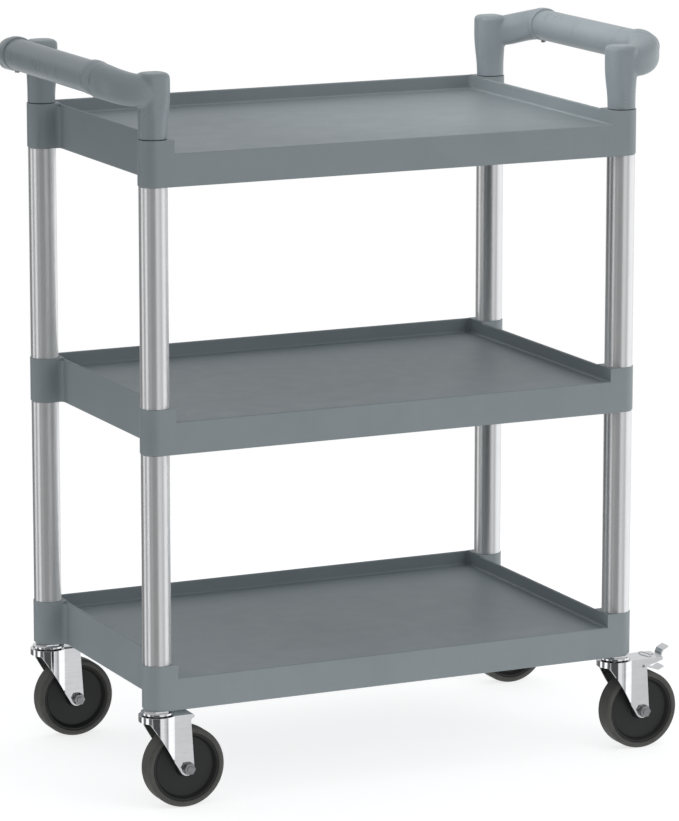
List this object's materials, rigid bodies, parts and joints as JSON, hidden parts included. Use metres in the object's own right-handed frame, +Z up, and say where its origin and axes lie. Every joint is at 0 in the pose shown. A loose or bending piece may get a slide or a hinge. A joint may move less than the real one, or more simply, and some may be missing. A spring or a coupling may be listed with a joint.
{
  "type": "food service trolley",
  "caption": "Open-sided service trolley with moulded shelf trays on round metal posts, push handles at both ends and swivel casters, some with foot brakes.",
  "frame": {"origin": "centre of the trolley's outline on the floor", "axes": "+X along the trolley's length towards the braked casters, +Y towards the high back rims of the trays, +Z up"},
  "size_m": [0.7966, 0.4126, 0.9241],
  "materials": {
    "tray_plastic": "fine matt grain",
    "handle_plastic": "satin",
    "post_metal": "polished tube",
    "plug_plastic": "plain",
    "plain_steel": "plain zinc",
    "bright_plate": "bright plated",
    "hub_plastic": "satin black",
    "tyre_rubber": "matt"
  },
  "bodies": {
    "trolley": {"bottom_tray": "tray_plastic", "middle_tray": "tray_plastic", "top_tray": "tray_plastic", "lower_post_fl": "post_metal", "lower_post_fr": "post_metal", "lower_post_rl": "post_metal", "lower_post_rr": "post_metal", "upper_post_fl": "post_metal", "upper_post_fr": "post_metal", "upper_post_rl": "post_metal", "upper_post_rr": "post_metal", "bottom_post_plugs": "plug_plastic", "middle_post_plugs": "plug_plastic", "stem_inserts": "plain_steel", "socket_screws": "plain_steel", "handle_elbow_fl": "handle_plastic", "handle_elbow_fr": "handle_plastic", "handle_elbow_rl": "handle_plastic", "handle_elbow_rr": "handle_plastic", "left_handle_grip": "handle_plastic", "right_handle_grip": "handle_plastic", "handle_screws": "plain_steel", "caster_balls": "plain_steel", "caster_fl_stem": "plain_steel", "caster_fl_race": "bright_plate", "caster_fr_stem": "plain_steel", "caster_fr_race": "bright_plate", "caster_rl_stem": "plain_steel", "caster_rl_race": "bright_plate", "caster_rr_stem": "plain_steel", "caster_rr_race": "bright_plate"},
    "swivel_fl": {"caster_fl_fork": "bright_plate", "caster_fl_axle_bolt": "plain_steel", "caster_fl_axle_nut": "plain_steel", "caster_fl_spacer": "plain_steel"},
    "wheel_fl": {"caster_fl_wheel_core": "hub_plastic", "caster_fl_tyre": "tyre_rubber"},
    "swivel_fr": {"caster_fr_fork": "bright_plate", "caster_fr_axle_bolt": "plain_steel", "caster_fr_axle_nut": "plain_steel", "caster_fr_spacer": "plain_steel", "brake_fr_pin": "plain_steel"},
    "wheel_fr": {"caster_fr_wheel_core": "hub_plastic", "caster_fr_tyre": "tyre_rubber"},
    "swivel_rl": {"caster_rl_fork": "bright_plate", "caster_rl_axle_bolt": "plain_steel", "caster_rl_axle_nut": "plain_steel", "caster_rl_spacer": "plain_steel"},
    "wheel_rl": {"caster_rl_wheel_core": "hub_plastic", "caster_rl_tyre": "tyre_rubber"},
    "swivel_rr": {"caster_rr_fork": "bright_plate", "caster_rr_axle_bolt": "plain_steel", "caster_rr_axle_nut": "plain_steel", "caster_rr_spacer": "plain_steel", "brake_rr_pin": "plain_steel"},
    "wheel_rr": {"caster_rr_wheel_core": "hub_plastic", "caster_rr_tyre": "tyre_rubber"},
    "brake_fr": {"brake_fr_lever": "bright_plate"},
    "brake_rr": {"brake_rr_lever": "bright_plate"}
  },
  "joints": [
    {"name": "caster_fl_swivel", "type": "hinge", "parent": "trolley", "child": "swivel_fl", "pos_m": [-0.32425, -0.182, 0.12], "axis": [0, 0, 1], "continuous": true},
    {"name": "caster_fl_roll", "type": "hinge", "parent": "swivel_fl", "child": "wheel_fl", "pos_m": [-0.29075, -0.182, 0.051], "axis": [0, 1, 0], "continuous": true},
    {"name": "caster_fr_swivel", "type": "hinge", "parent": "trolley", "child": "swivel_fr", "pos_m": [0.31375, -0.182, 0.12], "axis": [0, 0, 1], "continuous": true},
    {"name": "caster_fr_roll", "type": "hinge", "parent": "swivel_fr", "child": "wheel_fr", "pos_m": [0.34725, -0.182, 0.051], "axis": [0, 1, 0], "continuous": true},
    {"name": "caster_rl_swivel", "type": "hinge", "parent": "trolley", "child": "swivel_rl", "pos_m": [-0.32425, 0.182, 0.12], "axis": [0, 0, 1], "continuous": true},
    {"name": "caster_rl_roll", "type": "hinge", "parent": "swivel_rl", "child": "wheel_rl", "pos_m": [-0.29075, 0.182, 0.051], "axis": [0, 1, 0], "continuous": true},
    {"name": "caster_rr_swivel", "type": "hinge", "parent": "trolley", "child": "swivel_rr", "pos_m": [0.31375, 0.182, 0.12], "axis": [0, 0, 1], "continuous": true},
    {"name": "caster_rr_roll", "type": "hinge", "parent": "swivel_rr", "child": "wheel_rr", "pos_m": [0.34725, 0.182, 0.051], "axis": [0, 1, 0], "continuous": true},
    {"name": "brake_fr_pedal", "type": "hinge", "parent": "swivel_fr", "child": "brake_fr", "pos_m": [0.34675, -0.182, 0.11], "axis": [0, 1, 0], "range_deg": [0, 8]},
    {"name": "brake_rr_pedal", "type": "hinge", "parent": "swivel_rr", "child": "brake_rr", "pos_m": [0.34675, 0.182, 0.11], "axis": [0, 1, 0], "range_deg": [0, 8]}
  ]
}
